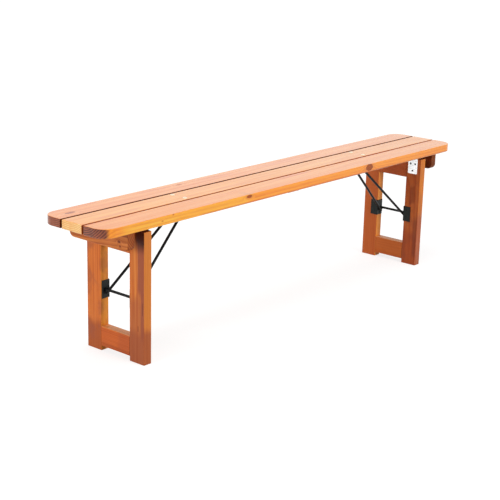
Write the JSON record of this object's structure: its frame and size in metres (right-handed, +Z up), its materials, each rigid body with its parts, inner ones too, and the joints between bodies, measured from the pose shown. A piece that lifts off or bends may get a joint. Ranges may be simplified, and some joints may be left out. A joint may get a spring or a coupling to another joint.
{
  "type": "folding bench",
  "caption": "Long wooden bench: plank seat on two ladder-shaped leg frames that hinge flat under it, each held upright by a bent steel rod brace.",
  "frame": {"origin": "on the floor under the middle of the seat", "axes": "+X along the bench to the right end as seen from the front, +Y to the rear long side, +Z up"},
  "size_m": [1.816, 0.271, 0.4563],
  "materials": {
    "seat_timber": "clear satin lacquer on planed softwood",
    "batten_timber": "clear satin lacquer on planed softwood",
    "leg_timber": "clear satin lacquer on planed softwood",
    "zinc_plate": "bright zinc plate",
    "dark_screw": "dull dark steel",
    "black_steel": "satin black paint",
    "bright_bolt": "bright zinc plate"
  },
  "bodies": {
    "seat": {"front_plank": "seat_timber", "middle_plank": "seat_timber", "rear_plank": "seat_timber", "left_end_batten": "batten_timber", "right_end_batten": "batten_timber", "middle_batten": "batten_timber", "left_front_hinge_seat_leaf": "zinc_plate", "left_rear_hinge_seat_leaf": "zinc_plate", "right_front_hinge_seat_leaf": "zinc_plate", "right_rear_hinge_seat_leaf": "zinc_plate", "left_front_hinge_pin": "zinc_plate", "left_rear_hinge_pin": "zinc_plate", "right_front_hinge_pin": "zinc_plate", "right_rear_hinge_pin": "zinc_plate", "left_brace_bracket": "black_steel", "right_brace_bracket": "black_steel", "left_front_bracket_bolt": "bright_bolt", "left_rear_bracket_bolt": "bright_bolt", "right_front_bracket_bolt": "bright_bolt", "right_rear_bracket_bolt": "bright_bolt", "left_front_bracket_nut": "bright_bolt", "left_rear_bracket_nut": "bright_bolt", "right_front_bracket_nut": "bright_bolt", "right_rear_bracket_nut": "bright_bolt"},
    "left_leg": {"left_leg_front_stile": "leg_timber", "left_leg_rear_stile": "leg_timber", "left_leg_top_rail": "leg_timber", "left_leg_bottom_rail": "leg_timber", "left_front_hinge_leg_leaf": "zinc_plate", "left_rear_hinge_leg_leaf": "zinc_plate", "left_front_hinge_screw_1": "dark_screw", "left_front_hinge_screw_2": "dark_screw", "left_front_hinge_screw_3": "dark_screw", "left_rear_hinge_screw_1": "dark_screw", "left_rear_hinge_screw_2": "dark_screw", "left_rear_hinge_screw_3": "dark_screw", "left_front_catch_plate": "black_steel", "left_rear_catch_plate": "black_steel"},
    "right_leg": {"right_leg_front_stile": "leg_timber", "right_leg_rear_stile": "leg_timber", "right_leg_top_rail": "leg_timber", "right_leg_bottom_rail": "leg_timber", "right_front_hinge_leg_leaf": "zinc_plate", "right_rear_hinge_leg_leaf": "zinc_plate", "right_front_hinge_screw_1": "dark_screw", "right_front_hinge_screw_2": "dark_screw", "right_front_hinge_screw_3": "dark_screw", "right_rear_hinge_screw_1": "dark_screw", "right_rear_hinge_screw_2": "dark_screw", "right_rear_hinge_screw_3": "dark_screw", "right_front_catch_plate": "black_steel", "right_rear_catch_plate": "black_steel"},
    "left_brace": {"left_brace_front_rod": "black_steel", "left_brace_rear_rod": "black_steel", "left_brace_cross_rod": "black_steel"},
    "right_brace": {"right_brace_front_rod": "black_steel", "right_brace_rear_rod": "black_steel", "right_brace_cross_rod": "black_steel"}
  },
  "joints": [
    {"name": "left_leg_fold", "type": "hinge", "parent": "seat", "child": "left_leg", "pos_m": [-0.703, 0, 0.419], "axis": [0, -1, 0], "range_deg": [0, 90]},
    {"name": "left_brace_swing", "type": "hinge", "parent": "seat", "child": "left_brace", "pos_m": [-0.4575, 0, 0.4185], "axis": [0, -1, 0], "range_deg": [0, 138.66]},
    {"name": "right_leg_fold", "type": "hinge", "parent": "seat", "child": "right_leg", "pos_m": [0.703, 0, 0.419], "axis": [0, 1, 0], "range_deg": [0, 90]},
    {"name": "right_brace_swing", "type": "hinge", "parent": "seat", "child": "right_brace", "pos_m": [0.4575, 0, 0.4185], "axis": [0, 1, 0], "range_deg": [0, 138.66]}
  ],
  "couplings": [
    {"joint": "left_brace_swing", "follows": "left_leg_fold", "ratio": 1.5407},
    {"joint": "right_brace_swing", "follows": "right_leg_fold", "ratio": 1.5407}
  ]
}
